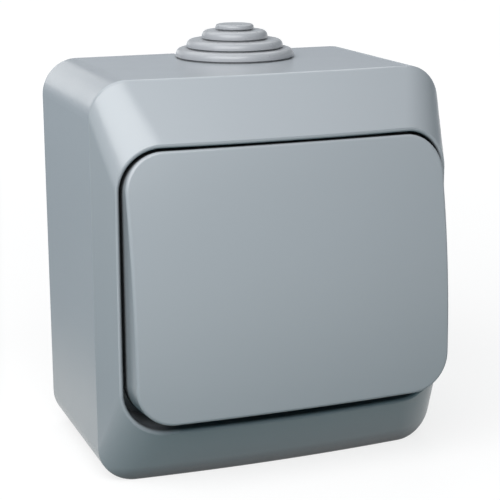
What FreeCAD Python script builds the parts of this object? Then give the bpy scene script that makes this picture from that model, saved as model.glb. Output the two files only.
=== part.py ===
"""Surface-mounted outdoor rocker switch: back box, hood, cable grommet and switch insert.

The wall is the plane y = 0, the front looks along -Y, +Z is up and +X is right as seen from the front.
Depths are measured forward from the wall, in millimetres.
"""
import FreeCAD, Part
import Sketcher
import math
import os
from types import SimpleNamespace

from FreeCAD import Placement, Rotation, Vector

SIZES = {
    # Hood: outer form
    "hood_width": 74.0,
    "hood_height": 81.0,
    "hood_corner": 7.5,
    "hood_wall": 2.2,
    "rim_gap": 2.4,             # the back box stands this proud of the hood's rim
    "lip_depth": 48.45,         # front of the lip at its sides
    "bevel_depth": 8.55,        # the bevels start this far behind the lip
    "crease_bow": 1.9,          # the creases bulge forward by this much in the middle
    "crease_soft": 0.7,
    "lip_bow": 2.2,
    "lip_land": 0.85,           # width of the lip's front face
    "lip_soft": 0.25,
    "lip_roll": 0.55,           # rounding into the opening
    # Hood: opening and well
    "side_bevel": 3.3,          # from the hood's side to the opening
    "end_bevel": 12.5,          # from its top and bottom to the opening
    "opening_corner": 8.3,
    "well_wall": 1.8,
    "well_sink": 9.45,          # floor of the well, behind the lip
    "well_floor": 2.0,
    "floor_side": 13.7,         # floor left beside the window of the switch insert
    "floor_end": 10.0,
    "window_corner": 2.0,
    # Rocker
    "pivot_rise": 1.9,          # pivot in front of the well's floor
    "pivot_height": 0.6,
    "tilt": 6.78,               # degrees either way from the middle position
    "rocker_side_gap": 0.6,     # between the rocker and the opening
    "rocker_end_gap": 1.7,
    "rocker_crown": 165.0,      # radius of the face from top to bottom
    "rocker_bow": 1.56,         # bulge of the face from side to side
    "rocker_face": 14.79,       # middle of the face, in front of the pivot
    "rocker_rim": 2.1,          # back rim, in front of the pivot
    "rocker_wall": 2.0,
    "rocker_soft": 0.6,
    "clip_width": 6.0,
    "clip_wall": 1.6,
    "clip_spacing": 20.0,
    "clip_catch": 0.6,
    "clip_gap": 0.15,
    "clip_room": 1.25,          # between the clips and the window
    # Carrier, plunger and spring
    "carrier_wall": 3.0,
    "trunnion": 3.9,
    "trunnion_gap": 0.05,
    "tube_outside": 8.0,
    "tube_bore": 5.2,
    "tube_length": 17.0,
    "plunger": 5.0,
    "plunger_head": 9.2,        # shoulder of the plunger, behind the pivot
    "plunger_shank": 8.8,
    "plunger_tip": 2.0,         # radius of the rounded tip
    "plunger_gap": 0.3,
    "spring_mean": 3.9,
    "spring_wire": 0.6,
    "spring_pitch": 1.5,
    "spring_gap": 0.1,
    # Switch insert
    "insert_seat": 8.0,         # back of the contact block
    "insert_split": 23.0,       # where contact block and frame meet
    "insert_lap": 2.0,          # contact block beyond the window at each side
    "chamber_end": 2.5,
    "chamber_floor": 11.4,
    "frame_plate": 3.0,
    "frame_rim": 3.0,
    "ear_wall": 2.2,
    "ear_width": 10.0,
    "ear_reach": 3.0,           # ear in front of the pivot
    "ear_gap": 0.3,
    "lug_gap": 0.9,             # between the frame's rim and the heads of its screws
    "lug_width": 10.0,
    "lug_end": 4.5,
    "seal": 2.5,
    "seal_gap": 0.1,
    "seal_inset": 0.3,
    # Contacts
    "strip": 0.8,
    "strip_width": 4.6,
    "strip_gap": 0.1,
    "bridge_width": 7.0,
    "bridge_end": 2.0,          # between the bridge and the ends of the chamber
    "bridge_gap": 0.3,
    "contact_end": 2.5,         # contacts from the ends of the bridge
    "contact_disc": 4.0,
    "contact_height": 1.2,
    "contact_gap": 0.2,
    "leg_gap": 1.0,             # between the lower contact and the leg of the common strip
    # Terminals
    "terminal_wall": 3.6,       # between the contact chamber and the terminals' wells
    "terminal_end_inset": 9.0,
    "clamp_size": 7.6,
    "clamp_height": 9.5,
    "clamp_wall": 1.2,
    "clamp_back": 1.8,
    "clamp_window": 4.7,
    "clamp_gap": 0.3,
    "block_floor": 1.5,
    # Screws
    "screw": 3.5,
    "screw_head": 6.2,
    "screw_head_height": 2.2,
    "screw_slot": 0.9,
    "screw_slot_depth": 1.1,
    "screw_soft": 0.5,
    "screw_gap": 0.05,
    "terminal_screw_length": 9.0,
    "insert_screw_length": 11.0,
    "cover_screw_length": 10.0,
    # Back box
    "box_gap": 0.35,
    "box_wall": 1.8,
    "box_plate": 2.0,
    "box_depth": 15.0,
    "post": 8.0,
    "cover_post": 6.6,
    "cover_side_inset": 6.9,    # screws of the hood, from the sides of its opening
    "cover_end_inset": 8.0,
    "pad": 5.0,                 # feet under the corners of the insert
    "pad_inset": 5.0,
    "post_gap": 0.3,
    "fixing_inset": 6.45,       # wall slots, from the sides of the box
    "fixing_slot": 7.5,
    "fixing_width": 4.5,
    # Cable grommet
    "grommet_side": 2.5,
    "grommet_back": 0.45,       # from the wall to the largest ring
    "grommet_neck": 20.0,
    "grommet_gap": 0.2,
    "grommet_ring": 25.1,       # largest ring
    "grommet_third_ring": 20.5,
    "grommet_second_ring": 14.0,
    "grommet_top_ring": 8.15,
    "grommet_rise": 1.96,       # height of the largest ring, then of those above it
    "grommet_third_rise": 1.82,
    "grommet_second_rise": 1.93,
    "grommet_top_rise": 1.25,
    "grommet_groove": 0.45,     # depth of the groove under each ring
    "grommet_groove_height": 0.35,
    "grommet_soft": 1.2,        # rounding of the rings, half of it on the top one
    "grommet_wall": 1.5,
    "grommet_flange": 1.6,
    "grommet_flange_ring": 24.0,
    # Earth terminal
    "earth_side": 16.0,
    "earth_gap": 1.65,          # between the terminal and the wall of the box
    "earth_length": 14.0,
    "earth_size": 7.0,
    "earth_seat": 5.0,
    "earth_bore": 4.2,
    "earth_spacing": 7.0,
    "earth_screw_length": 4.5,
}

doc = FreeCAD.newDocument("weatherproof_switch")
sheet = doc.addObject("Spreadsheet::Sheet", "sizes")
for row, (alias, number) in enumerate(SIZES.items(), start=1):
    sheet.set(f"A{row}", alias)
    sheet.set(f"B{row}", str(number))
    sheet.setAlias(f"B{row}", alias)
doc.recompute()


class Dim:
    """A length or an angle: its formula over the sheet's cells, with its present value."""

    def __init__(self, text, value):
        self.text = text
        self.value = value

    def __add__(self, other):
        other = dim(other)
        return Dim(f"({self.text} + {other.text})", self.value + other.value)

    def __sub__(self, other):
        other = dim(other)
        return Dim(f"({self.text} - {other.text})", self.value - other.value)

    def __mul__(self, other):
        other = dim(other)
        return Dim(f"({self.text} * {other.text})", self.value * other.value)

    def __truediv__(self, other):
        other = dim(other)
        return Dim(f"({self.text} / {other.text})", self.value / other.value)

    def __neg__(self):
        return Dim(f"(0 - {self.text})", -self.value)


def dim(number):
    """Give a plain number the form of a Dim."""
    return number if isinstance(number, Dim) else Dim(repr(float(number)), float(number))


def tangent(angle):
    """Tangent of an angle in degrees."""
    return Dim(f"tan({angle.text} * 1 deg)", math.tan(math.radians(angle.value)))


s = SimpleNamespace(**{alias: Dim(f"sizes.{alias}", float(sheet.get(alias))) for alias in SIZES})
nodes = {}


def bind(item, prop, length):
    """Tie one property of a document object to the sheet."""
    item.setExpression(prop, dim(length).text)


def keep(name, item):
    """Name a finished sub-part."""
    item.Label = name
    nodes[name] = item
    return item


class Piece:
    """One piece, built up feature by feature in a body of its own.

    A place is (side, height, depth): to the right, up and forward from the body's origin.
    """

    PLANES = {"front": "XZ_Plane", "up": "XY_Plane", "side": "YZ_Plane"}

    def __init__(self, name, base=None):
        self.body = doc.addObject("PartDesign::Body", name)
        self.name = name
        self.count = 0
        if base:
            self.body.BaseFeature = base

    def attach(self, kind, place, along):
        """Add a feature whose own axis runs forward, up or to the side."""
        self.count += 1
        item = self.body.newObject(kind, f"{self.name}_{self.count}")
        role = self.PLANES[along]
        plane = next(f for f in self.body.Origin.OriginFeatures if f.Role == role)
        item.AttachmentSupport = (plane, "")
        item.MapMode = "FlatFace"
        side, height, depth = (dim(length) for length in place)
        local = {"front": (side, height, depth), "up": (side, -depth, height), "side": (-depth, height, side)}
        for axis, length in zip("xyz", local[along]):
            bind(item, f"AttachmentOffset.Base.{axis}", length)
        return item

    def block(self, width, height, thick, place, cut=False):
        """Add or cut a box, centred sideways and in height, that runs forward from its place."""
        side, rise, depth = (dim(length) for length in place)
        width, height = dim(width), dim(height)
        corner = (side - width / 2, rise - height / 2, depth)
        item = self.attach(f"PartDesign::{'Subtractive' if cut else 'Additive'}Box", corner, "front")
        bind(item, "Length", width)
        bind(item, "Width", height)
        bind(item, "Height", thick)
        return self

    def rod(self, diameter, length, place, cut=False, along="front"):
        """Add or cut a cylinder from its place along one of the axes."""
        item = self.attach(f"PartDesign::{'Subtractive' if cut else 'Additive'}Cylinder", place, along)
        bind(item, "Radius", dim(diameter) / 2)
        bind(item, "Height", length)
        return self

    def ball(self, diameter, place):
        """Add a sphere."""
        item = self.attach("PartDesign::AdditiveSphere", place, "front")
        bind(item, "Radius", dim(diameter) / 2)
        return self

    def polygon(self, points, thick, place, along):
        """Pad a closed outline of corners, each tied to the sheet, evenly about its plane."""
        sketch = self.attach("Sketcher::SketchObject", place, along)
        count = len(points)
        for i, (a, b) in enumerate(zip(points, points[1:] + points[:1])):
            start, end = (Vector(dim(p[0]).value, dim(p[1]).value, 0) for p in (a, b))
            sketch.addGeometry(Part.LineSegment(start, end), False)
        for i, point in enumerate(points):
            sketch.addConstraint(Sketcher.Constraint("Coincident", (i - 1) % count, 2, i, 1))
            for axis, length in zip("XY", point):
                length = dim(length)
                if length.value == 0:
                    line = -2 if axis == "X" else -1
                    sketch.addConstraint(Sketcher.Constraint("PointOnObject", i, 1, line))
                    continue
                distance = Sketcher.Constraint(f"Distance{axis}", -1, 1, i, 1, length.value)
                number = sketch.addConstraint(distance)
                sketch.setExpression(f"Constraints[{number}]", length.text)
        pad = self.body.newObject("PartDesign::Pad", f"{self.name}_pad_{self.count}")
        pad.Profile = sketch
        pad.Midplane = True
        bind(pad, "Length", thick)
        sketch.Visibility = False
        return self

    def soften(self, radius, chosen):
        """Round the edges that a test picks."""
        doc.recompute()
        base = self.body.Tip
        names = [f"Edge{i}" for i, edge in enumerate(base.Shape.Edges, start=1) if chosen(edge)]
        item = self.body.newObject("PartDesign::Fillet", f"{self.name}_soft_{self.count}")
        item.Base = (base, names)
        bind(item, "Radius", radius)
        self.count += 1
        return self

    def on_pivot(self, depth, turn, angle):
        """Set the body on a pivot at the rocker's height: turn is 1 for top out, -1 for top in."""
        self.body.Placement = Placement(Vector(), Rotation(Vector(turn, 0, 0), angle.value))
        bind(self.body, "Placement.Base.y", -depth)
        bind(self.body, "Placement.Base.z", s.pivot_height)
        bind(self.body, "Placement.Rotation.Angle", angle)
        return self

    def keep(self):
        """Finish the piece under its own name."""
        return keep(self.name, self.body)


def forward(edge):
    """Whether an edge is straight and runs from back to front."""
    return isinstance(edge.Curve, Part.Line) and abs(edge.Curve.Direction.y) > 0.999


def at_depth(edge, depth):
    """Whether an edge lies flat at one depth."""
    box = edge.BoundBox
    return max(abs(box.YMin + depth), abs(box.YMax + depth)) < 1e-4


def at_side(edge, side):
    """Whether an edge lies this far out to the left or the right."""
    return abs(abs(edge.CenterOfMass.x) - side) < 1e-2


def boolean(kind, name, base, *tools):
    """Cut tools from a base, fuse them to it, or keep what they share."""
    item = doc.addObject(f"Part::{kind}", name)
    item.Base = base
    if len(tools) == 1:
        item.Tool = tools[0]
        return item
    joined = doc.addObject("Part::MultiFuse", f"{name}_tools")
    joined.Shapes = list(tools)
    item.Tool = joined
    return item


def group(name, pieces):
    """Keep like pieces as one sub-part of separate solids."""
    item = doc.addObject("Part::Compound", name)
    item.Links = [piece.body for piece in pieces]
    return keep(name, item)


# Sizes and places that several pieces share
opening_width = s.hood_width - s.side_bevel * 2
opening_height = s.hood_height - s.end_bevel * 2
crease_depth = s.lip_depth - s.bevel_depth
well_depth = s.lip_depth - s.well_sink
floor_back = well_depth - s.well_floor
window_width = opening_width - s.floor_side * 2
window_height = opening_height - s.floor_end * 2
window_half = window_width / 2
rocker_width = opening_width - s.rocker_side_gap * 2
rocker_height = opening_height - s.rocker_end_gap * 2
pivot_depth = well_depth + s.pivot_rise
ear_inside = window_half - s.ear_gap - s.ear_wall
carrier_width = (ear_inside - s.ear_gap) * 2
carrier_height = window_height - (s.clip_room + s.clip_wall + s.clip_gap) * 2
insert_width = window_width + s.insert_lap * 2
contact_pad = s.contact_disc + s.strip * 2
chamber_width = contact_pad + (s.leg_gap + s.strip_width + s.strip_gap) * 2
chamber_height = window_height - s.chamber_end * 2
bridge_length = chamber_height - s.bridge_end * 2
contact_arm = bridge_length / 2 - s.contact_end
bridge_depth = s.chamber_floor + s.strip + s.contact_height * 2 + s.contact_gap
tip_back = pivot_depth - bridge_depth - s.strip - s.plunger_tip - s.plunger_gap
plate_front = s.insert_split + s.frame_plate
frame_front = floor_back - s.seal_gap - s.seal
frame_size = (window_width + s.frame_rim * 2, window_height + s.frame_rim * 2)
pilot = s.screw + s.screw_gap * 2
clearance_hole = s.screw + s.post_gap * 2
cover_side = opening_width / 2 - s.cover_side_inset
cover_rise = opening_height / 2 - s.cover_end_inset
cover_places = [(cover_side * -sign, s.pivot_height + cover_rise * sign) for sign in (1, -1)]
lug_spacing = frame_size[1] + s.screw_head + s.lug_gap * 2
lug_places = [s.pivot_height + lug_spacing * half for half in (0.5, -0.5)]
terminal_side = chamber_width / 2 + s.terminal_wall + s.clamp_gap + s.clamp_size / 2
terminal_rise = window_height / 2 - s.terminal_end_inset
terminals = {
    "common": (-terminal_side, s.pivot_height - terminal_rise),
    "upper": (terminal_side, s.pivot_height + terminal_rise),
    "lower": (terminal_side, s.pivot_height - terminal_rise),
}
hood_top = s.hood_height / 2
box_width = s.hood_width - (s.hood_wall + s.box_gap) * 2
box_height = s.hood_height - (s.hood_wall + s.box_gap) * 2
box_corner = s.hood_corner - s.hood_wall - s.box_gap
grommet_way = s.grommet_neck + s.grommet_gap * 2
grommet_depth = s.grommet_ring / 2 + s.grommet_back
earth_drop = box_height / 2 - s.box_wall - s.earth_size / 2 - s.earth_gap


def bowed_outline(name, width, height, middle, corner, depth, bow):
    """Rounded outline at one depth, wrapped on an upright cylinder so that it bulges forward."""
    half, rise = width / 2, height / 2
    radius = (half ** 2 + bow ** 2) / (2 * bow) if bow else math.inf

    def point(x, z):
        sag = radius - math.sqrt(radius ** 2 - x ** 2) if bow else 0.0
        return Vector(x, sag - depth - bow, z)

    def bend(side, up, start):
        """One corner, a quarter turn from an angle in degrees."""
        centre = (side * (half - corner), middle + up * (rise - corner))
        angles = [math.radians(start + step) for step in range(0, 91, 15)]
        turns = [(corner * math.cos(angle), corner * math.sin(angle)) for angle in angles]
        curve = Part.BSplineCurve()
        curve.interpolate([point(centre[0] + x, centre[1] + z) for x, z in turns])
        return curve.toShape()

    def edge_across(side, z):
        ends = point(side * (half - corner), z), point(0, z), point(-side * (half - corner), z)
        return (Part.Arc(*ends) if bow else Part.LineSegment(ends[0], ends[2])).toShape()

    def edge_up(side):
        ends = [point(side * half, middle + side * sign * (rise - corner)) for sign in (-1, 1)]
        return Part.LineSegment(*ends).toShape()

    edges = [
        edge_up(1), bend(1, 1, 0), edge_across(1, middle + rise), bend(-1, 1, 90),
        edge_up(-1), bend(-1, -1, 180), edge_across(-1, middle - rise), bend(1, -1, 270),
    ]
    item = doc.addObject("Part::Feature", name)
    item.Shape = Part.Wire(edges)
    return item


def loft(name, outlines):
    """Solid with straight rulings through outlines, closed at both ends."""
    item = doc.addObject("Part::Loft", name)
    item.Sections = [bowed_outline(f"{name}_{i}", *values) for i, values in enumerate(outlines)]
    item.Solid = True
    item.Ruled = True
    return item


def hood():
    """The moulded cover: box, bevelled front, lip, and the well that the rocker swings in."""
    reach = 1.3                 # the bevels run this far past the lip before they are trimmed
    margin = 6.0
    wall = s.hood_wall.value
    rim = [s.hood_width.value, s.hood_height.value, 0.0, s.hood_corner.value, s.rim_gap.value, 0.0]
    crease = rim[:4] + [crease_depth.value, s.crease_bow.value]
    lip = [
        opening_width.value + 2 * s.lip_land.value, opening_height.value + 2 * s.lip_land.value,
        s.pivot_height.value, s.opening_corner.value + s.lip_land.value, s.lip_depth.value, s.lip_bow.value,
    ]
    past = [a + reach * (b - a) for a, b in zip(crease, lip)]
    end = past[:4] + [past[4] + past[5] + margin, 0.0]
    outside = loft("hood_outside", [rim, crease, past, end])

    inset = [-2 * wall, -2 * wall, 0.0, -wall, -wall / 2, 0.0]
    inside = [[a + b for a, b in zip(outline, inset)] for outline in (rim, crease, past, end)]
    cavity = loft("hood_inside", inside)

    face = doc.addObject("Part::Cylinder", "lip_face")
    half = opening_width / 2 + s.lip_land
    radius = (half * half + s.lip_bow * s.lip_bow) / (s.lip_bow * 2)
    bind(face, "Radius", radius)
    bind(face, "Height", s.hood_height * 2)
    bind(face, "Placement.Base.y", radius - s.lip_depth - s.lip_bow)
    bind(face, "Placement.Base.z", -s.hood_height)
    trimmed = boolean("Common", "hood_trimmed", outside, face)

    room = s.hood_width
    centre = (0, s.pivot_height)
    well = Piece("hood_well")
    around = (opening_width + s.well_wall * 2, opening_height + s.well_wall * 2)
    well.block(*around, room, (*centre, floor_back))
    well.soften(s.opening_corner + s.well_wall, forward)
    hollow = boolean("Cut", "hood_hollow", cavity, well.body)

    window = Piece("hood_window")
    window.block(opening_width, opening_height, room, (*centre, well_depth))
    window.soften(s.opening_corner, forward)
    window.block(window_width, window_height, s.well_floor * 3, (*centre, floor_back - s.well_floor))
    window.soften(s.window_corner, lambda edge: forward(edge) and at_side(edge, window_half.value))
    for side, rise in cover_places:
        window.rod(clearance_hole, s.well_floor * 3, (side, rise, floor_back - s.well_floor))

    way = Piece("grommet_way")
    place = (s.grommet_side, hood_top - s.hood_wall * 2, grommet_depth)
    way.rod(grommet_way, s.hood_wall * 3, place, along="up")
    way.block(grommet_way, s.hood_wall * 3, grommet_depth, (s.grommet_side, hood_top - s.hood_wall / 2, 0))

    shell = boolean("Cut", "hood_shell", trimmed, hollow, window.body, way.body)

    def on_crease(edge):
        """Whether an edge runs along the crease between the box and its bevels."""
        ends = [edge.valueAt(t) for t in (edge.FirstParameter, edge.LastParameter)]
        level = [-p.y - crease_depth.value for p in ends]
        across = abs(edge.tangentAt(edge.FirstParameter).y) < 0.3
        outside_box = all(abs(p.x) > rim[0] / 2 - 0.01 or abs(p.z) > rim[1] / 2 - 0.01 for p in ends)
        return across and outside_box and min(level) > -0.01 and max(level) < s.crease_bow.value

    def on_lip(edge):
        """Whether an edge bounds the lip's front face."""
        axis = radius.value - s.lip_depth.value - s.lip_bow.value
        points = [edge.valueAt(t) for t in (edge.FirstParameter, edge.LastParameter)]
        return all(abs(math.hypot(p.x, p.y - axis) - radius.value) < 0.002 for p in points)

    def by_opening(edge):
        """Whether an edge is nearer to the opening than to the bevels."""
        limit = [(size.value + s.lip_land.value) / 2 for size in (opening_width, opening_height)]
        points = [edge.valueAt(t) for t in (edge.FirstParameter, edge.LastParameter)]
        return all(abs(p.x) < limit[0] and abs(p.z - s.pivot_height.value) < limit[1] for p in points)

    piece = Piece("hood", shell)
    piece.soften(s.crease_soft, on_crease)
    piece.soften(s.lip_soft, lambda edge: on_lip(edge) and not by_opening(edge))
    piece.soften(s.lip_roll, lambda edge: on_lip(edge) and by_opening(edge))
    return piece.keep()


def rocker():
    """The rocker: a crowned cap that clips over the ends of its carrier, top end pressed in."""

    def crown(name, face, spread):
        """Solid under the face: its side-to-side arc turned about a level axis far behind it."""
        half = rocker_width.value / 2
        bow = s.rocker_bow.value
        radius = (half ** 2 + bow ** 2) / (2 * bow)
        wide = half + spread
        drop = radius - math.sqrt(radius ** 2 - wide ** 2)
        back = face - s.rocker_face.value * 2
        front = [Vector(-wide, drop - face, 0), Vector(0, -face, 0), Vector(wide, drop - face, 0)]
        rear = [Vector(wide, -back, 0), Vector(-wide, -back, 0)]
        edges = [Part.Arc(*front), Part.LineSegment(front[2], rear[0]), Part.LineSegment(*rear)]
        edges.append(Part.LineSegment(rear[1], front[0]))
        profile = doc.addObject("Part::Feature", f"{name}_profile")
        profile.Shape = Part.Face(Part.Wire([edge.toShape() for edge in edges]))
        item = doc.addObject("Part::Revolution", name)
        item.Source = profile
        item.Axis = Vector(1, 0, 0)
        item.Base = Vector(0, s.rocker_crown.value - s.rocker_face.value, 0)
        item.Angle = 2 * math.degrees(rocker_height.value / s.rocker_crown.value)
        item.Symmetric = True
        item.Solid = True
        return item

    def cap(name, inset, face):
        """Block with the rocker's outline, brought in all round, under its crowned face."""
        block = Piece(f"{name}_block")
        size = (rocker_width - inset * 2, rocker_height - inset * 2)
        block.block(*size, s.rocker_face * 2, (0, 0, s.rocker_rim - inset))
        block.soften(s.opening_corner - s.rocker_side_gap - inset, forward)
        return boolean("Common", name, block.body, crown(f"{name}_crown", face, s.rocker_wall.value))

    wall = s.rocker_wall
    outer = cap("rocker_outside", dim(0), s.rocker_face.value)
    inner = cap("rocker_inside", wall, s.rocker_face.value - wall.value)
    piece = Piece("rocker_button", boolean("Cut", "rocker_shell", outer, inner))

    def on_face(edge):
        """Whether an edge bounds the outer face."""
        points = [edge.valueAt(t) for t in (edge.FirstParameter, edge.LastParameter)]
        side = all(abs(p.x) > rocker_width.value / 2 - 0.01 or abs(p.z) > rocker_height.value / 2 - 0.01
                   for p in points)
        return side and not forward(edge) and min(-p.y for p in points) > s.rocker_rim.value + 1.0

    piece.soften(s.rocker_soft, on_face)
    catch_back = s.carrier_wall / 2 + s.clip_gap
    clip_end = catch_back + s.clip_wall
    for end in (1, -1):
        for side in (0.5, -0.5):
            across = s.clip_spacing * side
            rise = (carrier_height / 2 + s.clip_gap + s.clip_wall / 2) * end
            piece.block(s.clip_width, s.clip_wall, s.rocker_face - wall + clip_end, (across, rise, -clip_end))
            catch = (carrier_height / 2 + s.clip_gap - s.clip_catch / 2) * end
            piece.block(s.clip_width, s.clip_catch, s.clip_wall, (across, catch, -clip_end))
    piece.on_pivot(pivot_depth, -1, s.tilt)
    return piece.keep()


def carrier():
    """The pivoted carrier: plate, trunnions and the tube of the toggle plunger."""
    piece = Piece("rocker_carrier")
    piece.block(carrier_width, carrier_height, s.carrier_wall, (0, 0, -s.carrier_wall / 2))
    reach = ear_inside + s.ear_wall - s.ear_gap
    piece.rod(s.trunnion, reach * 2, (-reach, 0, 0), along="side")
    piece.rod(s.tube_outside, s.tube_length, (0, 0, -s.tube_length))
    piece.rod(s.tube_bore, s.tube_length - s.trunnion / 2, (0, 0, -s.tube_length), cut=True)
    piece.on_pivot(pivot_depth, -1, s.tilt)
    return piece.keep()


def plunger():
    """The sprung plunger, with a round tip that rides on the contact bridge."""
    piece = Piece("toggle_plunger")
    shank_end = s.plunger_head + s.plunger_shank
    piece.rod(s.plunger, s.plunger_shank, (0, 0, -shank_end))
    piece.rod(s.plunger_tip * 2, tip_back - shank_end, (0, 0, -tip_back))
    piece.ball(s.plunger_tip * 2, (0, 0, -tip_back))
    piece.on_pivot(pivot_depth, -1, s.tilt)
    return piece.keep()


def spring():
    """The coil between the closed end of the tube and the plunger."""
    wire = s.spring_wire.value
    start = s.plunger_head.value - s.spring_gap.value - wire / 2
    end = s.trunnion.value / 2 + s.spring_gap.value + wire / 2
    radius = s.spring_mean.value / 2
    coil = Part.makeHelix(s.spring_pitch.value, start - end, radius)
    section = Part.Wire(Part.makeCircle(wire / 2, Vector(radius, 0, 0), Vector(0, 1, 0)))
    solid = Part.Wire(coil.Edges).makePipeShell([section], True, True)
    lying = Placement(Vector(0, start, 0), Rotation(Vector(1, 0, 0), 90))
    item = doc.addObject("Part::Feature", "spring_coil")
    item.Shape = solid.transformed(lying.toMatrix(), True)
    return Piece("toggle_spring", item).on_pivot(pivot_depth, -1, s.tilt).keep()


def bridge():
    """The seesaw contact arm, a shallow V on its knife edge, and the two rivets on its ends."""
    piece = Piece("contact_bridge")
    half = bridge_length / 2
    lift = half * tangent(s.tilt)
    front = [(-lift - s.strip, half), (-s.strip, 0), (-lift - s.strip, -half)]
    piece.polygon([(0, 0), (-lift, half), *front, (-lift, -half)], s.bridge_width, (0, 0, 0), "side")
    piece.on_pivot(bridge_depth, 1, s.tilt)
    piece.keep()

    lower = Piece("moving_contact_lower")
    lower.rod(s.contact_disc, s.contact_height, (0, -contact_arm, -s.contact_height))
    lower.on_pivot(bridge_depth, 1, s.tilt * 0)
    upper = Piece("moving_contact_upper")
    upper.rod(s.contact_disc, s.contact_height, (0, contact_arm, -s.contact_height))
    upper.on_pivot(bridge_depth, 1, s.tilt * 2)
    group("moving_contacts", [lower, upper])


def contacts():
    """The three stamped strips on the chamber's floor, and the tips of the two fixed ones."""
    floor = s.chamber_floor
    end = terminal_side + s.clamp_size / 2
    tips = []
    for name, sign in (("upper", 1), ("lower", -1)):
        rise = s.pivot_height + terminal_rise * sign
        tip_rise = s.pivot_height + contact_arm * sign
        piece = Piece(f"{name}_contact")
        length = end + contact_pad / 2
        piece.block(length, s.strip_width, s.strip, (end - length / 2, rise, floor))
        piece.block(contact_pad, contact_pad, s.strip, (0, tip_rise, floor))
        piece.keep()
        tip = Piece(f"fixed_tip_{name}")
        tips.append(tip.rod(s.contact_disc, s.contact_height, (0, tip_rise, floor + s.strip)))
    group("fixed_contact_tips", tips)

    side, rise = terminals["common"]
    piece = Piece("common_contact")
    leg = chamber_width / 2 - s.strip_gap - s.strip_width / 2
    knife_side = s.bridge_width / 2
    length = leg + s.strip_width / 2 + knife_side
    piece.block(length, s.strip_width, s.strip, (knife_side - length / 2, s.pivot_height, floor))
    drop = terminal_rise + s.strip_width
    piece.block(s.strip_width, drop, s.strip, (-leg, s.pivot_height - terminal_rise / 2, floor))
    run = end - leg + s.strip_width / 2
    piece.block(run, s.strip_width, s.strip, (run / 2 - end, rise, floor))
    knife = bridge_depth - s.bridge_gap - floor
    piece.block(s.bridge_width, s.strip, knife, (0, s.pivot_height, floor))
    piece.keep()


def contact_block():
    """The back of the insert: contact chamber, terminal wells and the ways of the strips."""
    piece = Piece("mechanism_base")
    centre = (0, s.pivot_height)
    piece.block(insert_width, window_height, s.insert_split - s.insert_seat, (*centre, s.insert_seat))
    piece.block(chamber_width, chamber_height, s.insert_split, (*centre, s.chamber_floor), cut=True)
    well = s.clamp_size + s.clamp_gap * 2
    inner = terminal_side - well / 2
    outer = insert_width / 2 + s.clamp_wall
    floor = s.insert_seat + s.block_floor
    way = s.strip_width + s.strip_gap * 2
    for side, rise in terminals.values():
        sign = math.copysign(1, side.value)
        piece.block(outer - inner, well, s.insert_split, ((inner + outer) / 2 * sign, rise, floor), cut=True)
        piece.block(inner, way, s.strip + s.strip_gap, (inner / 2 * sign, rise, s.chamber_floor), cut=True)
    return piece.keep()


def frame():
    """The front of the insert: plate with lugs, rim for the seal, and the ears of the rocker's pivot."""
    piece = Piece("mechanism_frame")
    centre = (0, s.pivot_height)
    piece.block(*frame_size, frame_front - s.insert_split, (*centre, s.insert_split))
    piece.soften(s.window_corner, forward)
    piece.block(window_width, window_height, frame_front, (*centre, plate_front), cut=True)
    piece.block(s.lug_width, lug_spacing + s.lug_end * 2, s.frame_plate, (*centre, s.insert_split))
    tip = pivot_depth + s.ear_reach
    for sign in (1, -1):
        foot = (window_half + s.frame_rim / 2 - ear_inside)
        piece.block(foot, s.ear_width, frame_front - s.insert_split,
                    ((ear_inside + foot / 2) * sign, s.pivot_height, s.insert_split))
        piece.block(s.ear_wall, s.ear_width, tip - s.insert_split,
                    ((ear_inside + s.ear_wall / 2) * sign, s.pivot_height, s.insert_split))
    piece.block(chamber_width + s.clamp_gap * 2, chamber_height + s.clamp_gap * 2, s.insert_split,
                (*centre, s.insert_split - s.frame_plate), cut=True)
    through = s.frame_plate * 3
    for rise in lug_places:
        piece.rod(clearance_hole, through, (0, rise, s.insert_split - s.frame_plate), cut=True)
    for side, rise in terminals.values():
        access = s.screw_head + s.clamp_gap * 2
        piece.rod(access, through, (side, rise, s.insert_split - s.frame_plate), cut=True)
    bearing = s.trunnion + s.trunnion_gap * 2
    start = (-s.hood_width / 2, s.pivot_height, pivot_depth)
    piece.rod(bearing, s.hood_width, start, cut=True, along="side")
    return piece.keep()


def seal():
    """The rubber frame between the insert and the floor of the hood's well."""
    piece = Piece("front_seal")
    centre = (0, s.pivot_height)
    piece.block(*frame_size, s.seal, (*centre, frame_front))
    piece.soften(s.window_corner, forward)
    inside = (window_width + s.seal_inset * 2, window_height + s.seal_inset * 2)
    piece.block(*inside, frame_front, (*centre, frame_front - s.seal), cut=True)
    return piece.keep()


def screw(name, length, side, rise, seat):
    """Slotted pan-head screw whose head sits at a depth."""
    piece = Piece(name)
    piece.rod(s.screw_head, s.screw_head_height, (side, rise, seat))
    front = seat + s.screw_head_height
    piece.soften(s.screw_soft, lambda edge: at_depth(edge, front.value))
    piece.rod(s.screw, length, (side, rise, seat - length))
    slot = (side, rise, front - s.screw_slot_depth)
    piece.block(s.screw_slot, s.screw_head * 2, s.screw_head, slot, cut=True)
    return piece


def terminal_hardware():
    """The clamps round the ends of the strips, with their screws."""
    clamps, screws = [], []
    floor = s.insert_seat + s.block_floor
    for name, (side, rise) in terminals.items():
        clamp = Piece(f"clamp_{name}")
        clamp.block(s.clamp_size, s.clamp_size, s.clamp_height, (side, rise, floor))
        mouth = s.clamp_size - s.clamp_wall * 2
        clamp.block(s.clamp_size * 2, mouth, s.clamp_window, (side, rise, floor + s.clamp_back), cut=True)
        clamp.rod(pilot, s.clamp_height, (side, rise, floor + s.clamp_back), cut=True)
        clamps.append(clamp)
        seat = s.chamber_floor + s.strip + s.strip_gap + s.terminal_screw_length
        screws.append(screw(f"terminal_screw_{name}", s.terminal_screw_length, side, rise, seat))
    group("terminal_clamps", clamps)
    group("terminal_screws", screws)


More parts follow.
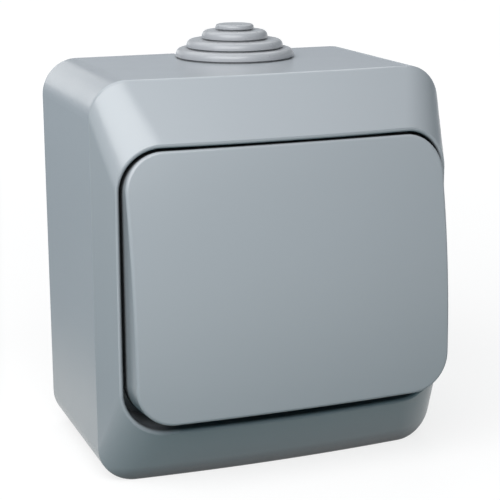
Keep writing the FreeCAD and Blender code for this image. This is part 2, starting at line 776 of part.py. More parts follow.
def fixing_screws():
    """The screws of the insert and those of the hood."""
    insert = [screw(f"insert_screw_{i}", s.insert_screw_length, dim(0), rise, plate_front)
              for i, rise in enumerate(lug_places, start=1)]
    group("mechanism_screws", insert)
    cover = [screw(f"cover_screw_{i}", s.cover_screw_length, side, rise, well_depth)
             for i, (side, rise) in enumerate(cover_places, start=1)]
    group("cover_screws", cover)


def earth():
    """The loop-through block for the earth wires, with its two screws."""
    piece = Piece("earth_terminal")
    rise = -earth_drop
    piece.block(s.earth_length, s.earth_size, s.earth_size, (-s.earth_side, rise, s.earth_seat))
    screws = []
    front = s.earth_seat + s.earth_size
    for i, half in enumerate((0.5, -0.5), start=1):
        side = s.earth_spacing * half - s.earth_side
        middle = s.earth_seat + s.earth_size / 2
        piece.rod(s.earth_bore, s.earth_size * 2, (side, rise - s.earth_size, middle), cut=True, along="up")
        piece.rod(pilot, s.earth_size, (side, rise, middle), cut=True)
        screws.append(screw(f"earth_screw_{i}", s.earth_screw_length, side, rise, front + s.post_gap))
    piece.keep()
    group("earth_terminal_screws", screws)


def back_box():
    """The box on the wall: plate, low wall, posts, fixing slots and the seat of the grommet."""
    piece = Piece("base_box")
    piece.block(box_width, box_height, s.box_depth, (0, 0, 0))
    piece.soften(box_corner, forward)
    room = (box_width - s.box_wall * 2, box_height - s.box_wall * 2)
    piece.block(*room, s.box_depth, (0, 0, s.box_plate), cut=True)
    inside = (room[0] / 2).value
    piece.soften(box_corner - s.box_wall, lambda edge: forward(edge) and at_side(edge, inside))

    pad_side = insert_width / 2 - s.pad_inset
    pad_rise = window_height / 2 - s.pad_inset
    for side in (1, -1):
        for end in (1, -1):
            piece.rod(s.pad, s.insert_seat, (pad_side * side, s.pivot_height + pad_rise * end, 0))
    for rise in lug_places:
        piece.rod(s.post, s.insert_split, (0, rise, 0))
        tip = plate_front - s.insert_screw_length - s.post_gap
        piece.rod(pilot, s.insert_split, (0, rise, tip), cut=True)
    for side, rise in cover_places:
        piece.rod(s.cover_post, floor_back - s.post_gap, (side, rise, 0))
        tip = well_depth - s.cover_screw_length - s.post_gap
        piece.rod(pilot, floor_back, (side, rise, tip), cut=True)
    piece.block(s.earth_length, s.earth_size, s.earth_seat, (-s.earth_side, -earth_drop, 0))

    through = s.box_plate * 4
    for half in (0.5, -0.5):
        middle = (box_width - s.fixing_inset * 2) * half
        straight = s.fixing_slot - s.fixing_width
        piece.block(straight, s.fixing_width, through, (middle, 0, -s.box_plate), cut=True)
        for end in (0.5, -0.5):
            piece.rod(s.fixing_width, through, (middle + straight * end, 0, -s.box_plate), cut=True)

    top = box_height / 2
    piece.rod(grommet_way, s.box_wall * 4, (s.grommet_side, top - s.box_wall * 2, grommet_depth),
              cut=True, along="up")
    piece.block(grommet_way, s.box_wall * 4, s.box_depth, (s.grommet_side, top, grommet_depth), cut=True)
    return piece.keep()


def grommet():
    """The stepped rubber membrane: a hollow stack of rings on a neck with an inner flange."""
    piece = Piece("cable_grommet")
    place = (s.grommet_side, grommet_depth)
    rings = [
        (s.grommet_ring, s.grommet_rise),
        (s.grommet_third_ring, s.grommet_third_rise),
        (s.grommet_second_ring, s.grommet_second_rise),
        (s.grommet_top_ring, s.grommet_top_rise),
    ]
    flange_top = box_height / 2 - s.box_wall - s.grommet_gap
    flange_bottom = flange_top - s.grommet_flange

    def disc(diameter, low, high, cut=False):
        piece.rod(diameter, high - low, (place[0], low, place[1]), cut=cut, along="up")

    def rim(ring, height):
        """Test for the upper edge of a ring."""
        def test(edge):
            return (isinstance(edge.Curve, Part.Circle) and abs(edge.Curve.Radius - ring.value / 2) < 1e-3
                    and abs(edge.CenterOfMass.z - height.value) < 1e-3)
        return test

    disc(s.grommet_flange_ring, flange_bottom, flange_top)
    flat = s.box_plate + s.grommet_gap
    piece.block(s.grommet_flange_ring, s.grommet_flange * 2, flat, (s.grommet_side, flange_top, 0), cut=True)
    disc(s.grommet_neck, flange_bottom, hood_top + s.grommet_groove_height)
    top = hood_top
    bores = []
    for ring, rise in rings:
        groove = ring - s.grommet_groove * 2
        disc(groove, top, top + s.grommet_groove_height)
        disc(ring, top + s.grommet_groove_height, top + rise)
        top = top + rise
        soft = s.grommet_soft / 2 if ring is s.grommet_top_ring else s.grommet_soft
        piece.soften(soft, rim(ring, top))
        bore = s.grommet_neck if ring is s.grommet_ring else groove
        bores.append((bore - s.grommet_wall * 2, top - s.grommet_wall))
    for bore, roof in bores:
        disc(bore, flange_bottom, roof, cut=True)
    return piece.keep()


hood()
rocker()
carrier()
plunger()
spring()
bridge()
contacts()
contact_block()
frame()
seal()
terminal_hardware()
fixing_screws()
earth()
back_box()
grommet()
doc.recompute()

failed = [item.Name for item in doc.Objects if "Invalid" in item.State or "Error" in item.State]
for name, item in nodes.items():
    if item.Shape.isNull() or not item.Shape.isValid():
        failed.append(name)
if failed:
    raise RuntimeError(f"not built: {', '.join(failed)}")

os.makedirs("parts", exist_ok=True)
for name, item in nodes.items():
    item.Shape.exportStep(f"parts/{name}.step")
    print(f"{name}: {len(item.Shape.Solids)} solids, {item.Shape.Volume:.1f} cubic mm")
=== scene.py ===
"""Outdoor rocker switch: finishes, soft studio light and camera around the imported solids."""

import logging
import math
from dataclasses import dataclass, field
from enum import Enum

import bmesh
import bpy
from mathutils import Matrix, Vector


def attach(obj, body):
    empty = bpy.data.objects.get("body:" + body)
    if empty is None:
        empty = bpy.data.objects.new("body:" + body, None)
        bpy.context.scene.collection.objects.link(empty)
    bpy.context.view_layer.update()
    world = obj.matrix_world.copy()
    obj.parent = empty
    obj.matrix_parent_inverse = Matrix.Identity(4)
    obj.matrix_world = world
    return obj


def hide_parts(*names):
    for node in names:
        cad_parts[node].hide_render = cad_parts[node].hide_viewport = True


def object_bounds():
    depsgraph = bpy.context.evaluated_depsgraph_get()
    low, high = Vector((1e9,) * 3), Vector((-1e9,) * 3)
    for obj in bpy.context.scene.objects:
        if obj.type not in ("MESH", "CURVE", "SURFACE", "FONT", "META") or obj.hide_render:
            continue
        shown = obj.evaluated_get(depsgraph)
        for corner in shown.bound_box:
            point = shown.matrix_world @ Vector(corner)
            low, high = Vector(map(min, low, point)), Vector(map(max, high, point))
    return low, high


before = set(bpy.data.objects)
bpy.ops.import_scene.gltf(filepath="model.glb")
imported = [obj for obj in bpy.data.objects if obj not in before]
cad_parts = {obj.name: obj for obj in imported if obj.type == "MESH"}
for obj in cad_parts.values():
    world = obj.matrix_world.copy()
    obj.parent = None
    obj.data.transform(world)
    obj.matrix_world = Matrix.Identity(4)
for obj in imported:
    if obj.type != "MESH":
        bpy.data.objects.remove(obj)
CAD_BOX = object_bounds()

log = logging.getLogger("weatherproof_switch")

Colour = tuple[float, float, float]
Triple = tuple[float, float, float]
Range = tuple[float, float]
Socket = bpy.types.NodeSocket

WHITE: Colour = (1.0, 1.0, 1.0)
MILLI = 1000
# Most values of a noise lie in this range.
NOISE_BULK: Range = (0.2, 0.8)
# Painted shade in gaps lies darkest where this share of the sky is open, and ends at the second
# share.
GAP_SHADE_OPENNESS: Range = (0.20, 0.74)
# The darkest the painted shade in gaps goes, as a share of the plain colour.
GAP_SHADE_DARKNESS = 0.15
# Places of the colour sockets on a Mix node: share, base, other, result.
MIX_SHARE, MIX_BASE, MIX_OTHER, MIX_RESULT = 0, 6, 7, 2


class Slot(Enum):
    """Material slots of the record."""

    HOOD = "hood_plastic"
    GROMMET = "grommet_rubber"
    BOX = "box_plastic"
    INSERT = "insert_plastic"
    CARRIER = "carrier_plastic"
    PLUNGER = "plunger_plastic"
    SPRING = "spring_steel"
    BRASS = "contact_brass"
    SILVER = "contact_silver"
    PLATED = "plated_steel"
    SEAL = "seal_rubber"


class NodeTree:
    """A material's or a world's node tree, emptied and built up again."""

    def __init__(self, tree: bpy.types.NodeTree) -> None:
        """Start an empty tree.

        Args:
            tree: the tree to fill.
        """
        self.tree = tree
        tree.nodes.clear()

    def node(self, kind: str, **inputs: object) -> bpy.types.Node:
        """Add one node.

        Args:
            kind: the node's type name.
            inputs: values or sockets for its inputs, with underscores for the spaces in names.

        Returns:
            The new node.
        """
        made = self.tree.nodes.new(kind)
        for name, value in inputs.items():
            self.put(made.inputs[name.replace("_", " ")], value)
        return made

    def filled(self, kind: str, *values: object, operation: str = "") -> bpy.types.Node:
        """Add one node and fill its inputs in their order.

        Args:
            kind: the node's type name.
            values: values or sockets for its first inputs.
            operation: what a maths node does.

        Returns:
            The new node.
        """
        made = self.tree.nodes.new(kind)
        if operation:
            made.operation = operation
        for socket, value in zip(made.inputs, values):
            self.put(socket, value)
        return made

    def put(self, socket: Socket, value: object) -> None:
        """Set or link one input.

        Args:
            socket: the input.
            value: a number, a colour, or another node's output.
        """
        if isinstance(value, bpy.types.NodeSocket):
            self.tree.links.new(value, socket)
        elif isinstance(value, tuple) and len(value) == 3 and socket.type == "RGBA":
            socket.default_value = (*value, 1.0)
        else:
            socket.default_value = value

    def place(self) -> Socket:
        """Find coordinates in the piece's own frame.

        Returns:
            The coordinates, in metres.
        """
        return self.node("ShaderNodeTexCoord").outputs["Object"]

    def noise(
        self, size: float, detail: float = 3.0, stretch: Triple = (1.0, 1.0, 1.0)
    ) -> Socket:
        """Cloudy noise from 0 to 1.

        Args:
            size: width of its features, in metres.
            detail: how many finer layers it holds.
            stretch: how much longer the features are along each axis.

        Returns:
            The noise's value.
        """
        scale = Vector(1.0 / (size * factor) for factor in stretch)
        mapping = self.node("ShaderNodeMapping", Vector=self.place(), Scale=scale)
        place = mapping.outputs["Vector"]
        made = self.node("ShaderNodeTexNoise", Vector=place, Scale=1.0, Detail=detail)
        return made.outputs["Fac"]

    def spread(self, value: Socket, low: float, high: float, at: Range = (0.0, 1.0)) -> Socket:
        """Map a value from one range to another, held at its ends.

        Args:
            value: the value.
            low: result at the start of the range.
            high: result at its end.
            at: the range.

        Returns:
            The mapped value.
        """
        made = self.node(
            "ShaderNodeMapRange", Value=value,
            From_Min=at[0], From_Max=at[1], To_Min=low, To_Max=high,
        )
        return made.outputs["Result"]

    def tint(self, share: Socket, base: object, other: object) -> Socket:
        """Lay one colour over another.

        Args:
            share: how much of the other colour shows.
            base: the colour below.
            other: the colour above.

        Returns:
            The mixed colour.
        """
        made = self.tree.nodes.new("ShaderNodeMix")
        made.data_type = "RGBA"
        self.put(made.inputs[MIX_SHARE], share)
        self.put(made.inputs[MIX_BASE], base)
        self.put(made.inputs[MIX_OTHER], other)
        return made.outputs[MIX_RESULT]

    def paint_gap_shade(self, unshaded: Socket, colour: Colour, reach: float, share: float) -> Socket:
        """Paint shade into grooves and gaps, darker where other surfaces are near.

        Args:
            unshaded: the colour without the painted shade.
            colour: the finish's plain colour, which the painted shade darkens.
            reach: how near other surfaces make a gap, in metres.
            share: how much of the painted shade shows at the bottom of a gap.

        Returns:
            The colour with painted shade in its gaps.
        """
        open_sky = self.node("ShaderNodeAmbientOcclusion", Distance=reach).outputs["AO"]
        # Painted shade: ambient occlusion darkens the colour in gaps and under overhangs.
        shade_share = self.spread(open_sky, share, 0.0, at=GAP_SHADE_OPENNESS)
        return self.tint(shade_share, unshaded, tuple(c * GAP_SHADE_DARKNESS for c in colour))

    def bump(self, layers: list[tuple[Socket, float]]) -> Socket:
        """Stack small surface reliefs.

        Args:
            layers: pairs of a height from 0 to 1 and the relief's depth in metres.

        Returns:
            The bent normal.
        """
        normal = None
        for height, depth in layers:
            made = self.node("ShaderNodeBump", Height=height, Strength=1.0, Distance=depth)
            if normal is not None:
                self.put(made.inputs["Normal"], normal)
            normal = made.outputs["Normal"]
        return normal

    def seen(self) -> Socket:
        """Tell rays that show the studio, straight or by mirror and glass, from other rays.

        Returns:
            1 for rays that show it, 0 for those that only carry its light.
        """
        path = self.node("ShaderNodeLightPath").outputs
        share = path["Is Camera Ray"]
        for other in ("Is Glossy Ray", "Is Transmission Ray"):
            made = self.filled("ShaderNodeMath", share, path[other], operation="MAXIMUM")
            share = made.outputs[0]
        return share

    def surface(self, **inputs: object) -> None:
        """End the tree in one principled surface.

        Args:
            inputs: values or sockets for the shader's inputs.
        """
        shader = self.node("ShaderNodeBsdfPrincipled", **inputs)
        self.node("ShaderNodeOutputMaterial", Surface=shader.outputs["BSDF"])


def new_material(name: str) -> tuple[bpy.types.Material, NodeTree]:
    """Make a material with an empty node tree.

    Args:
        name: the finish's name.

    Returns:
        The material and its tree.
    """
    material = bpy.data.materials.new(name)
    material.use_nodes = True
    return material, NodeTree(material.node_tree)


@dataclass(frozen=True)
class MouldedPlastic:
    """Moulded plastic with faint flow clouds, orange peel, fine grain and painted shade in its
    gaps.
    """

    name: str
    colour: Colour
    roughness: float = 0.2
    roughness_spread: float = 0.02
    cloud: float = 0.008
    cloud_size: float = 0.03
    gloss_size: float = 0.01
    peel_size: float = 0.004
    peel_depth: float = 1.0e-6
    grain_size: float = 0.0005
    grain_depth: float = 0.3e-6
    ior: float = 1.47
    # Reach and strength of the painted shade in gaps.
    gap_reach: float = 0.005
    gap_shade: float = 0.9

    def material(self) -> bpy.types.Material:
        """Build the finish's material.

        Returns:
            The new material.
        """
        material, tree = new_material(self.name)
        clouds = tree.spread(tree.noise(self.cloud_size, detail=1.0), 0.0, 1.0, at=NOISE_BULK)
        darker = tuple(c * (1.0 - self.cloud) for c in self.colour)
        lighter = tuple(min(1.0, c * (1.0 + self.cloud)) for c in self.colour)
        unshaded = tree.tint(clouds, darker, lighter)
        # Painted shade: darker where other surfaces are near, in gaps and under overhangs.
        base = tree.paint_gap_shade(unshaded, self.colour, self.gap_reach, self.gap_shade)
        gloss = tree.spread(
            tree.noise(self.gloss_size, detail=1.0),
            self.roughness - self.roughness_spread,
            self.roughness + self.roughness_spread,
            at=NOISE_BULK,
        )
        normal = tree.bump([
            (tree.noise(self.peel_size, detail=0.0), self.peel_depth),
            (tree.noise(self.grain_size, detail=0.0), self.grain_depth),
        ])
        tree.surface(Base_Color=base, Roughness=gloss, Normal=normal, IOR=self.ior)
        return material


@dataclass(frozen=True)
class SoftRubber:
    """Moulded rubber with a faint bloom, a soft sheen and painted shade in its grooves."""

    name: str
    colour: Colour
    roughness: float = 0.30
    roughness_spread: float = 0.08
    gloss_size: float = 0.002
    bloom: float = 0.08
    bloom_size: float = 0.004
    bloom_bulk: Range = (0.4, 0.7)
    bloom_gain: float = 1.25
    bloom_lift: float = 0.02
    bloom_depth: float = 4e-6
    grain_size: float = 0.0004
    grain_depth: float = 2e-6
    ior: float = 1.5
    sheen: float = 0.10
    sheen_roughness: float = 0.5
    # Reach and strength of the painted shade in grooves.
    groove_reach: float = 0.0012
    groove_shade: float = 0.42

    def material(self) -> bpy.types.Material:
        """Build the finish's material.

        Returns:
            The new material.
        """
        material, tree = new_material(self.name)
        patches = tree.noise(self.bloom_size, detail=6.0)
        bloom = tree.spread(patches, 0.0, self.bloom, at=self.bloom_bulk)
        bloomed = tuple(min(1.0, c * self.bloom_gain + self.bloom_lift) for c in self.colour)
        unshaded = tree.tint(bloom, self.colour, bloomed)
        # Painted shade: darker in the grooves between rings, where other surfaces are near.
        base = tree.paint_gap_shade(unshaded, self.colour, self.groove_reach, self.groove_shade)
        gloss = tree.spread(
            tree.noise(self.gloss_size),
            self.roughness - self.roughness_spread,
            self.roughness + self.roughness_spread,
        )
        normal = tree.bump([
            (tree.noise(self.bloom_size, detail=2.0), self.bloom_depth),
            (tree.noise(self.grain_size, detail=3.0), self.grain_depth),
        ])
        tree.surface(
            Base_Color=base, Roughness=gloss, Normal=normal, IOR=self.ior,
            Sheen_Weight=self.sheen, Sheen_Roughness=self.sheen_roughness,
        )
        return material


@dataclass(frozen=True)
class WorkedMetal:
    """Stamped, turned or plated metal with drawn scratches and tarnish."""

    name: str
    colour: Colour
    tarnish: Colour
    roughness: float = 0.28
    smoother: float = 0.08
    rougher: float = 0.12
    stain: float = 0.5
    stain_size: float = 0.004
    stain_bulk: Range = (0.45, 0.75)
    grain_size: float = 0.00012
    grain_depth: float = 2e-6
    stretch: Triple = (12.0, 1.0, 1.0)

    def material(self) -> bpy.types.Material:
        """Build the finish's material.

        Returns:
            The new material.
        """
        material, tree = new_material(self.name)
        patches = tree.noise(self.stain_size, detail=6.0)
        stain = tree.spread(patches, 0.0, self.stain, at=self.stain_bulk)
        base = tree.tint(stain, self.colour, self.tarnish)
        grain = tree.noise(self.grain_size, detail=2.0, stretch=self.stretch)
        gloss = tree.spread(grain, self.roughness - self.smoother, self.roughness + self.rougher)
        normal = tree.bump([(grain, self.grain_depth)])
        tree.surface(Base_Color=base, Roughness=gloss, Normal=normal, Metallic=1.0)
        return material


FINISHES: dict[Slot, MouldedPlastic | SoftRubber | WorkedMetal] = {
    Slot.HOOD: MouldedPlastic(
        "glossy_grey_moulding", colour=(0.346, 0.370, 0.396), roughness=0.24),
    Slot.GROMMET: SoftRubber(
        "light_grey_rubber", colour=(0.322, 0.334, 0.354)),
    Slot.BOX: MouldedPlastic(
        "matt_grey_moulding", colour=(0.330, 0.355, 0.375), roughness=0.45, grain_depth=3e-6),
    Slot.INSERT: MouldedPlastic(
        "ivory_moulding", colour=(0.700, 0.680, 0.610), roughness=0.42, grain_depth=3e-6),
    Slot.CARRIER: MouldedPlastic(
        "black_moulding", colour=(0.030, 0.030, 0.033), roughness=0.40, cloud=0.15),
    Slot.PLUNGER: MouldedPlastic(
        "white_moulding", colour=(0.780, 0.780, 0.750), roughness=0.30),
    Slot.SPRING: WorkedMetal(
        "drawn_wire", colour=(0.480, 0.480, 0.490), tarnish=(0.330, 0.320, 0.310)),
    Slot.BRASS: WorkedMetal(
        "stamped_brass", colour=(0.680, 0.470, 0.170), tarnish=(0.420, 0.270, 0.110)),
    Slot.SILVER: WorkedMetal(
        "silver_rivet", colour=(0.780, 0.770, 0.740), tarnish=(0.500, 0.480, 0.440)),
    Slot.PLATED: WorkedMetal(
        "zinc_plate", colour=(0.560, 0.580, 0.600), tarnish=(0.400, 0.420, 0.440),
        roughness=0.33),
    Slot.SEAL: SoftRubber(
        "black_rubber", colour=(0.016, 0.016, 0.017), roughness=0.6),
}


@dataclass(frozen=True)
class ScrewForm:
    """A slotted pan-head screw with a rolled thread.

    Its seat is at depth 0 and its tip points inward. Lengths are in metres.
    """

    head_radius: float = 0.0031
    head_height: float = 0.0022
    head_soft: float = 0.0005
    slot_width: float = 0.0009
    slot_depth: float = 0.0011
    radius: float = 0.00175
    root: float = 0.00144
    pitch: float = 0.0006
    flank_gain: float = 1.7
    flank_drop: float = 0.35
    lead_turns: float = 1.5
    tip_share: float = 0.8
    crease_degrees: float = 35.0
    lobe_points: int = 11
    rows_per_turn: int = 8
    soft_steps: int = 4

    def lobe(self, radius: float, middle: float) -> list[float]:
        """Angles of one half of the head, from slot edge to slot edge.

        Args:
            radius: the head's radius at that level.
            middle: angle of the half's middle.

        Returns:
            The angles, in radians.
        """
        reach = math.acos(self.slot_width / 2 / radius)
        last = self.lobe_points - 1
        return [middle + reach * (2 * i / last - 1) for i in range(self.lobe_points)]

    def ring(self) -> list[float]:
        """Angles of a full ring: both halves and the middle of each slot end.

        Returns:
            The angles, in radians.
        """
        right = self.lobe(self.head_radius, 0.0)
        left = self.lobe(self.head_radius, math.pi)
        return [*right, math.pi / 2, *left, math.pi * 1.5]

    def thread(self, angle: float, depth: float, length: float) -> float:
        """Radius of the shank.

        Args:
            angle: place round the axis.
            depth: distance from the seat.
            length: the shank's length.

        Returns:
            The radius there.
        """
        phase = (depth / self.pitch - angle / (2 * math.pi)) % 1.0
        flank = 1.0 - abs(2 * phase - 1.0)
        ridge = min(1.0, max(0.0, self.flank_gain * flank - self.flank_drop))
        neck = min(1.0, depth / self.pitch)
        lead = min(1.0, (length - depth) / (self.lead_turns * self.pitch))
        taper = self.tip_share + (1.0 - self.tip_share) * lead
        return (self.root + (self.radius - self.root) * ridge * neck * lead) * taper

    def shape(self, length: float) -> tuple[list[Triple], list[list[int]]]:
        """Points and faces of one screw along Y.

        Args:
            length: the shank's length below the head.

        Returns:
            The points and the faces of a closed skin.
        """
        points: list[Triple] = []
        faces: list[list[int]] = []

        def add(angles: list[float], radii: list[float], depth: float) -> list[int]:
            """Add one ring of points.

            Args:
                angles: their places round the axis.
                radii: their distances from it.
                depth: their distance from the seat.

            Returns:
                The numbers of the new points.
            """
            start = len(points)
            points.extend((r * math.cos(a), depth, r * math.sin(a)) for a, r in zip(angles, radii))
            return list(range(start, len(points)))

        def join(low: list[int], high: list[int]) -> None:
            """Skin the band between two rings.

            Args:
                low: numbers of the first ring's points.
                high: numbers of the second ring's points.
            """
            for i in range(len(low)):
                j = (i + 1) % len(low)
                faces.append([low[i], low[j], high[j], high[i]])

        ring = self.ring()
        rows = round(length / self.pitch * self.rows_per_turn)
        shank = []
        for row in range(rows + 1):
            depth = length * (1 - row / rows)
            shank.append(add(ring, [self.thread(a, depth, length) for a in ring], depth))
        floor = self.slot_depth - self.head_height
        side = [add(ring, [self.head_radius] * len(ring), depth) for depth in (0.0, floor)]
        skin = shank + side
        faces.append(skin[0])
        for low, high in zip(skin, skin[1:]):
            join(low, high)

        count = self.lobe_points
        base = side[-1]
        halves = (base[:count], base[count + 1:2 * count + 1])
        right, left = halves
        faces.append([right[-1], base[count], left[0], left[-1], base[-1], right[0]])
        for half, middle in zip(halves, (0.0, math.pi)):
            low = half
            for step in range(self.soft_steps + 1):
                bend = math.pi / 2 * step / self.soft_steps
                radius = self.head_radius - self.head_soft * (1 - math.cos(bend))
                depth = self.head_soft * (1 - math.sin(bend)) - self.head_height
                high = add(self.lobe(radius, middle), [radius] * count, depth)
                join(low, high)
                low = high
            faces.append(low)
        return points, faces


@dataclass(frozen=True)
class ScrewSet:
    """Alike screws that stand for one CAD node of plain ones."""

    node: str
    length: float
    seat: float
    places: tuple[tuple[float, float], ...]
    body: str = "case"
    slot: Slot = Slot.PLATED
    form: ScrewForm = ScrewForm()

    def build(self) -> bpy.types.Object:
        """Cut the threads of all the screws of the set.

        Returns:
            The new piece, riding on its body.
        """
        points: list[Triple] = []
        faces: list[list[int]] = []
        one_points, one_faces = self.form.shape(self.length)
        for side, rise in self.places:
            start = len(points)
            points.extend((x + side, y + self.seat, z + rise) for x, y, z in one_points)
            faces.extend([start + i for i in face] for face in one_faces)
        mesh = bpy.data.meshes.new(f"threaded_{self.node}")
        mesh.from_pydata(points, [], faces)
        form = bmesh.new()
        form.from_mesh(mesh)
        bmesh.ops.recalc_face_normals(form, faces=form.faces)
        form.to_mesh(mesh)
        form.free()
        mesh.shade_smooth()
        mesh.set_sharp_from_angle(angle=math.radians(self.form.crease_degrees))
        piece = bpy.data.objects.new(mesh.name, mesh)
        bpy.context.scene.collection.objects.link(piece)
        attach(piece, self.body)
        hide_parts(self.node)
        return piece


@dataclass
class SubAssembly:
    """A group of CAD nodes that are dressed together."""

    nodes: dict[str, Slot]
    label: str = ""
    screws: tuple[ScrewSet, ...] = ()
    made: dict[str, bpy.types.Object] = field(default_factory=dict)

    def build(self) -> None:
        """Make the threaded screws, which the solids have as plain ones."""
        for screws in self.screws:
            self.made[screws.node] = screws.build()
            log.info("%s: %d screws for %s", self.label, len(screws.places), screws.node)

    def dress(self, finishes: dict[Slot, bpy.types.Material]) -> None:
        """Give each piece its finish.

        Args:
            finishes: one material per slot.
        """
        for name, slot in self.nodes.items():
            piece = self.made.get(name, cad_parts[name])
            if not piece.material_slots:
                piece.data.materials.append(None)
            for place in piece.material_slots:
                place.link = "OBJECT"
                place.material = finishes[slot]
            log.info("%s: %s takes %s", self.label, name, finishes[slot].name)


@dataclass
class Housing(SubAssembly):
    """The hood, the back box, the grommet and the screws between them."""

    label: str = "housing"
    nodes: dict[str, Slot] = field(default_factory=lambda: {
        "hood": Slot.HOOD,
        "base_box": Slot.BOX,
        "cable_grommet": Slot.GROMMET,
        "cover_screws": Slot.PLATED,
        "earth_terminal": Slot.BRASS,
        "earth_terminal_screws": Slot.PLATED,
    })
    screws: tuple[ScrewSet, ...] = (
        ScrewSet(
            "cover_screws", length=0.0100, seat=-0.0390,
            places=((-0.0268, 0.0206), (0.0268, -0.0194))),
        ScrewSet(
            "earth_terminal_screws", length=0.0045, seat=-0.0123,
            places=((-0.0125, -0.0310), (-0.0195, -0.0310))),
    )


@dataclass
class Rocker(SubAssembly):
    """The rocker with its carrier, plunger and spring."""

    label: str = "rocker"
    nodes: dict[str, Slot] = field(default_factory=lambda: {
        "rocker_button": Slot.HOOD,
        "rocker_carrier": Slot.CARRIER,
        "toggle_plunger": Slot.PLUNGER,
        "toggle_spring": Slot.SPRING,
    })


@dataclass
class SwitchInsert(SubAssembly):
    """The insert: mouldings, contacts and terminals."""

    label: str = "insert"
    nodes: dict[str, Slot] = field(default_factory=lambda: {
        "mechanism_base": Slot.INSERT,
        "mechanism_frame": Slot.INSERT,
        "front_seal": Slot.SEAL,
        "contact_bridge": Slot.BRASS,
        "moving_contacts": Slot.SILVER,
        "upper_contact": Slot.BRASS,
        "lower_contact": Slot.BRASS,
        "common_contact": Slot.BRASS,
        "fixed_contact_tips": Slot.SILVER,
        "terminal_clamps": Slot.PLATED,
        "terminal_screws": Slot.PLATED,
        "mechanism_screws": Slot.PLATED,
    })
    screws: tuple[ScrewSet, ...] = (
        ScrewSet(
            "terminal_screws", length=0.0090, seat=-0.0213,
            places=((-0.0162, -0.0084), (0.0162, 0.0096), (0.0162, -0.0084))),
        ScrewSet(
            "mechanism_screws", length=0.0110, seat=-0.0260,
            places=((0.0, 0.0256), (0.0, -0.0244))),
    )


@dataclass(frozen=True)
class Softbox:
    """A rectangular lamp behind a diffuser, turned to the middle of the object.

    Angles are in degrees: azimuth 0 is in front and rises to the right.
    """

    name: str
    azimuth: float
    elevation: float
    distance: float
    size: Range
    power: float
    aim: Triple = (0.0, -0.025, 0.0)

    def build(self) -> None:
        """Hang the lamp."""
        lamp = bpy.data.lights.new(self.name, "AREA")
        lamp.shape = "RECTANGLE"
        lamp.size, lamp.size_y = self.size
        lamp.energy = self.power
        holder = bpy.data.objects.new(self.name, lamp)
        holder.visible_camera = False
        bpy.context.scene.collection.objects.link(holder)
        side, rise = math.radians(self.azimuth), math.radians(self.elevation)
        flat = math.cos(rise)
        away = Vector((math.sin(side) * flat, -math.cos(side) * flat, math.sin(rise)))
        turn = away.to_track_quat("Z", "Y").to_matrix().to_4x4()
        holder.matrix_world = Matrix.Translation(Vector(self.aim) + away * self.distance) @ turn
        log.info("studio: %s at %.0f mW", self.name, self.power * MILLI)


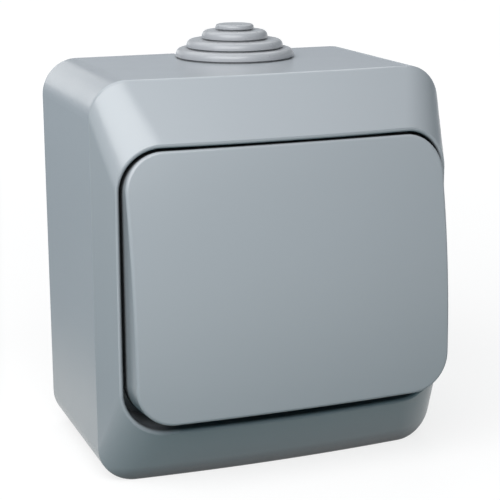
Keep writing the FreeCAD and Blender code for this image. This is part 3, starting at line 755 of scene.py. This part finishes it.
@dataclass
class Studio:
    """White floor, soft lamps and a dim surround.

    The floor glows less near the object, where its lit surface makes up for it, so that a soft
    shadow shows. Left of the view it is dimmer, and the object's left side mirrors that part.
    """

    floor_level: float
    floor_radius: float = 4.0
    floor_bounce: Colour = (0.012, 0.11, 0.125)
    floor_shade: float = 0.22
    floor_glow: Range = (0.78, 1.0)
    floor_reach: Range = (0.08, 0.40)
    sweep_across: Triple = (0.98, -0.20, 0.0)
    sweep_edge: Range = (-0.072, -0.046)
    sweep_dim: Colour = (0.50, 0.57, 0.64)
    horizon: Colour = (0.80, 0.86, 0.94)
    zenith: Colour = (0.08, 0.10, 0.11)
    room_low: Colour = (0.08, 0.115, 0.13)
    room_high: Colour = (0.05, 0.07, 0.08)
    horizon_band: float = 0.23
    lamps: tuple[Softbox, ...] = (
        Softbox("key_softbox", -36.0, 44.0, 0.39, (0.48, 0.31), 2.46),
        Softbox("top_softbox", -176.0, 60.0, 0.22, (0.30, 0.16), 0.23),
        Softbox("edge_softbox", -170.0, 13.0, 0.60, (0.28, 0.15), 0.15),
    )

    def build(self) -> None:
        """Set up the floor, the surround and the lamps."""
        self.build_floor()
        self.build_surround()
        for lamp in self.lamps:
            lamp.build()

    def build_floor(self) -> None:
        """Lay the floor: white to the eye and in mirrors, duller where it throws light back."""
        mesh = bpy.data.meshes.new("floor")
        corners = [(x * self.floor_radius, y * self.floor_radius, self.floor_level)
                   for x, y in ((-1, -1), (1, -1), (1, 1), (-1, 1))]
        mesh.from_pydata(corners, [], [(0, 1, 2, 3)])
        floor = bpy.data.objects.new("floor", mesh)
        bpy.context.scene.collection.objects.link(floor)

        material, tree = new_material("pale_floor")
        dull = tree.node("ShaderNodeBsdfDiffuse", Color=self.floor_bounce)
        shaded = tree.node("ShaderNodeBsdfDiffuse", Color=(self.floor_shade,) * 3)
        away = tree.filled("ShaderNodeVectorMath", tree.place(), operation="LENGTH")
        strength = tree.spread(away.outputs["Value"], *self.floor_glow, at=self.floor_reach)
        across = tree.filled(
            "ShaderNodeVectorMath", tree.place(), self.sweep_across, operation="DOT_PRODUCT")
        clear = tree.spread(across.outputs["Value"], 0.0, 1.0, at=self.sweep_edge)
        sweep = tree.tint(clear, self.sweep_dim, WHITE)
        glow = tree.node("ShaderNodeEmission", Color=sweep, Strength=strength)
        pale = tree.filled("ShaderNodeAddShader", shaded.outputs["BSDF"], glow.outputs["Emission"])
        mixed = tree.filled(
            "ShaderNodeMixShader", tree.seen(), dull.outputs["BSDF"], pale.outputs["Shader"])
        tree.node("ShaderNodeOutputMaterial", Surface=mixed.outputs["Shader"])
        mesh.materials.append(material)
        log.info("studio: floor at %.1f mm", self.floor_level * MILLI)

    def build_surround(self) -> None:
        """Light the room dimly; to the eye and in mirrors its pale horizon fades upward."""
        world = bpy.data.worlds.new("studio_surround")
        bpy.context.scene.world = world
        world.use_nodes = True
        tree = NodeTree(world.node_tree)
        direction = tree.node("ShaderNodeTexCoord").outputs["Generated"]
        height = tree.node("ShaderNodeSeparateXYZ", Vector=direction).outputs["Z"]
        share = tree.spread(height, 0.0, 1.0, at=(0.0, self.horizon_band))
        room = tree.tint(share, self.room_low, self.room_high)
        shown = tree.tint(share, self.horizon, self.zenith)
        sky = tree.tint(tree.seen(), room, shown)
        glow = tree.node("ShaderNodeBackground", Color=sky, Strength=1.0)
        tree.node("ShaderNodeOutputWorld", Surface=glow.outputs["Background"])


@dataclass(frozen=True)
class ViewCamera:
    """The camera, at the viewing angle solved from the creases and rims of the object."""

    place: Triple = (-0.10726, -0.30877, 0.07796)
    right: Triple = (0.93377025, -0.35786553, -0.0023195)
    up: Triple = (0.09010495, 0.22882632, 0.9692882)
    ahead: Triple = (0.34634407, 0.90530149, -0.24591667)
    lens: float = 106.306
    sensor: float = 36.0
    clip: Range = (0.01, 50.0)

    def build(self) -> None:
        """Set up the camera and make it the scene's own."""
        data = bpy.data.cameras.new("view_camera")
        data.lens = self.lens
        data.sensor_width = self.sensor
        data.clip_start, data.clip_end = self.clip
        camera = bpy.data.objects.new("view_camera", data)
        bpy.context.scene.collection.objects.link(camera)
        axes = (Vector(self.right), Vector(self.up), -Vector(self.ahead))
        turn = Matrix([[axis[row] for axis in axes] for row in range(3)])
        camera.matrix_world = Matrix.Translation(Vector(self.place)) @ turn.to_4x4()
        bpy.context.scene.camera = camera
        log.info("camera: %.1f mm lens", self.lens)


def main() -> None:
    """Dress the object, set up the studio and the camera."""
    logging.basicConfig(level=logging.INFO, format="%(name)s: %(message)s")
    finishes = {slot: finish.material() for slot, finish in FINISHES.items()}
    for assembly in (Housing(), Rocker(), SwitchInsert()):
        assembly.build()
        assembly.dress(finishes)
    Studio(floor_level=CAD_BOX[0].z).build()
    ViewCamera().build()
    bpy.context.scene.view_settings.view_transform = "Standard"


if __name__ == "__main__":
    main()
